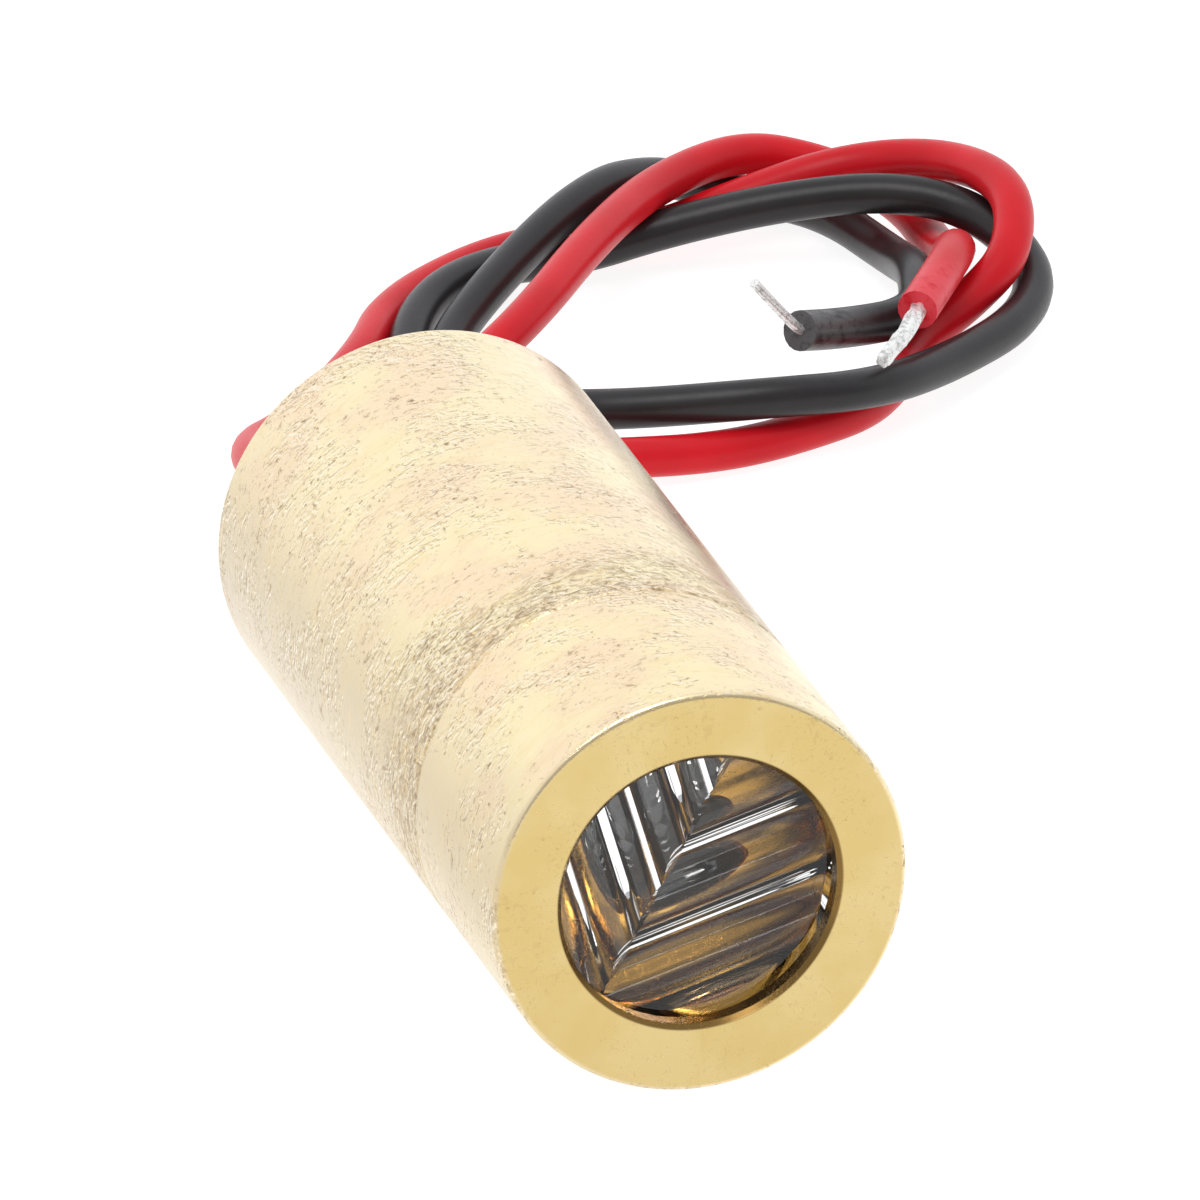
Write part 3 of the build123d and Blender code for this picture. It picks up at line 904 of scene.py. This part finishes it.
grainSet = {
    "cloudDetail": (4, 0.6),
    "cloudRange": (0.35, 0.65),
    "grainDetail": (3, 0.6),
    "roughSpread": 0.1,
    "bumpDepth": 0.02 * mm,
}
innerSet = {
    "springWire": dict(nodes=["focus_spring"], color=(0.55, 0.55, 0.56, 1), second=(0.42, 0.42, 0.43, 1),
                       cloud=900, grain=9000, rough=0.3, bump=0.1, metal=1),
    "bushBrass": dict(nodes=["diode_bush"], color=(0.62, 0.45, 0.2, 1), second=(0.5, 0.34, 0.13, 1),
                      cloud=700, grain=8000, rough=0.35, bump=0.15, metal=1),
    "goldPlate": dict(nodes=["diode_base", "diode_pins"], color=(0.86, 0.66, 0.28, 1),
                      second=(0.78, 0.58, 0.24, 1), cloud=1200, grain=9000, rough=0.28, bump=0.08, metal=1),
    "capSteel": dict(nodes=["diode_cap"], color=(0.7, 0.69, 0.66, 1), second=(0.6, 0.59, 0.57, 1),
                     cloud=900, grain=12000, rough=0.32, bump=0.08, metal=1),
    "boardGreen": dict(nodes=["driver_board"], color=(0.02, 0.16, 0.06, 1), second=(0.015, 0.12, 0.045, 1),
                       cloud=1500, grain=6000, rough=0.38, bump=0.2, metal=0),
    "chipBlack": dict(nodes=["driver_transistor", "set_resistor"], color=(0.02, 0.02, 0.021, 1),
                      second=(0.03, 0.03, 0.031, 1), cloud=3000, grain=20000, rough=0.55, bump=0.25, metal=0),
    "chipTan": dict(nodes=["filter_capacitor"], color=(0.42, 0.28, 0.16, 1), second=(0.36, 0.23, 0.13, 1),
                    cloud=3000, grain=20000, rough=0.45, bump=0.15, metal=0),
    "solderTin": dict(nodes=["pin_solder", "lead_solder", "red_lead_core", "black_lead_core"],
                      color=(0.78, 0.78, 0.77, 1), second=(0.62, 0.62, 0.61, 1), cloud=3000, grain=12000,
                      rough=0.34, bump=0.2, metal=1),
    "castResin": dict(nodes=["end_seal"], color=(0.016, 0.016, 0.018, 1), second=(0.03, 0.029, 0.03, 1),
                      cloud=800, grain=4000, rough=0.3, bump=0.5, metal=0),
}


def innerFinish(name, f):
    # a cloudy colour with fine grain
    g = grainSet
    mat, tree, bsdf = newMaterial(name)
    place = objectPlace(tree)
    cloud = ramp(tree, noise(tree, place, f["cloud"], *g["cloudDetail"]), g["cloudRange"])
    grain = noise(tree, place, f["grain"], *g["grainDetail"])
    tree.links.new(mixColor(tree, cloud, f["color"], f["second"]), bsdf.inputs["Base Color"])
    rough = span(tree, grain, (0, 1), f["rough"] - g["roughSpread"], f["rough"] + g["roughSpread"])
    tree.links.new(rough, bsdf.inputs["Roughness"])
    addBump(tree, bsdf, grain, f["bump"], g["bumpDepth"])
    bsdf.inputs["Metallic"].default_value = f["metal"]
    return mat


# insulation of the leads

coverSet = {
    "cloudNoise": (600, 3),
    "cloudRange": (0.3, 0.7),
    "grainNoise": (9000, 3),
    "roughSpread": 0.07,
    "bump": 0.12,
    "bumpDepth": 0.02 * mm,
    "scuffReach": (2.6 * mm, 0.8 * mm),  # from the cut end
    "scuffNoise": (3500, 4, 0.65),
    "scuffRange": (0.3, 0.56),
    "red": dict(color=(0.68, 0.009, 0.018, 1), second=(0.6, 0.007, 0.014, 1), scuff=(0.74, 0.05, 0.07, 1),
                rough=0.34, gloss=0.22),
    "black": dict(color=(0.021, 0.018, 0.019, 1), second=(0.015, 0.013, 0.014, 1),
                  scuff=(0.1, 0.094, 0.096, 1), rough=0.34, gloss=0.36),
}


def insulation(name, f, tip):
    # the cut end is scuffed paler
    c = coverSet
    mat, tree, bsdf = newMaterial(name)
    place = objectPlace(tree)
    cloud = ramp(tree, noise(tree, place, *c["cloudNoise"]), c["cloudRange"])
    grain = noise(tree, place, *c["grainNoise"])
    reach = addNode(tree, "ShaderNodeVectorMath", {0: place}, operation="DISTANCE")
    reach.inputs[1].default_value = tip
    worn = times(tree, ramp(tree, reach.outputs["Value"], c["scuffReach"]),
                 ramp(tree, noise(tree, place, *c["scuffNoise"]), c["scuffRange"]))
    color = mixColor(tree, cloud, f["color"], f["second"])
    tree.links.new(mixColor(tree, worn, color, f["scuff"]), bsdf.inputs["Base Color"])
    rough = span(tree, grain, (0, 1), f["rough"] - c["roughSpread"], f["rough"] + c["roughSpread"])
    tree.links.new(rough, bsdf.inputs["Roughness"])
    addBump(tree, bsdf, grain, c["bump"], c["bumpDepth"])
    bsdf.inputs["Specular IOR Level"].default_value = f["gloss"]
    return mat


# tinned strands

tinSet = {
    "bright": (0.9, 0.9, 0.88, 1),
    "dull": (0.52, 0.51, 0.49, 1),
    "spotNoise": (7000, 4, 0.6),
    "spotRange": (0.47, 0.63),
    "grainNoise": (20000, 3),
    "rough": (0.25, 0.55),
    "bump": 0.4,
    "bumpDepth": 0.03 * mm,
    "metal": 0.6,
}


def tinMaterial():
    # dipped tin: bright, with dull spots
    t = tinSet
    mat, tree, bsdf = newMaterial("tinnedCopper")
    place = objectPlace(tree)
    spots = noise(tree, place, *t["spotNoise"])
    color = mixColor(tree, ramp(tree, spots, t["spotRange"]), t["bright"], t["dull"])
    tree.links.new(color, bsdf.inputs["Base Color"])
    rough = span(tree, noise(tree, place, *t["grainNoise"]), (0, 1), *t["rough"])
    tree.links.new(rough, bsdf.inputs["Roughness"])
    addBump(tree, bsdf, spots, t["bump"], t["bumpDepth"])
    bsdf.inputs["Metallic"].default_value = t["metal"]
    return mat


brass = barrelBrass()
tin = tinMaterial()
for piece, mat in (
    (barrelPiece, brass),
    (cellPiece, brass),
    (lensPiece, clearMaterial("clearAcrylic", clearSet["acrylic"])),
    (collimatorPiece, clearMaterial("collimatorGlass", clearSet["shadeTintedGlass"])),
    (redLead, insulation("redInsulation", coverSet["red"], redPath[-1])),
    (blackLead, insulation("blackInsulation", coverSet["black"], blackPath[-1])),
    (redStrands, tin),
    (blackStrands, tin),
):
    piece.data.materials.append(mat)
for name, finish in innerSet.items():
    mat = innerFinish(name, finish)
    for node in finish["nodes"]:
        cadNodes[node].data.materials[0] = mat
cadNodes["diode_window"].data.materials[0] = clearMaterial("windowGlass", clearSet["window"])
print("materials set")


# last update, then the end

bpy.context.view_layer.update()
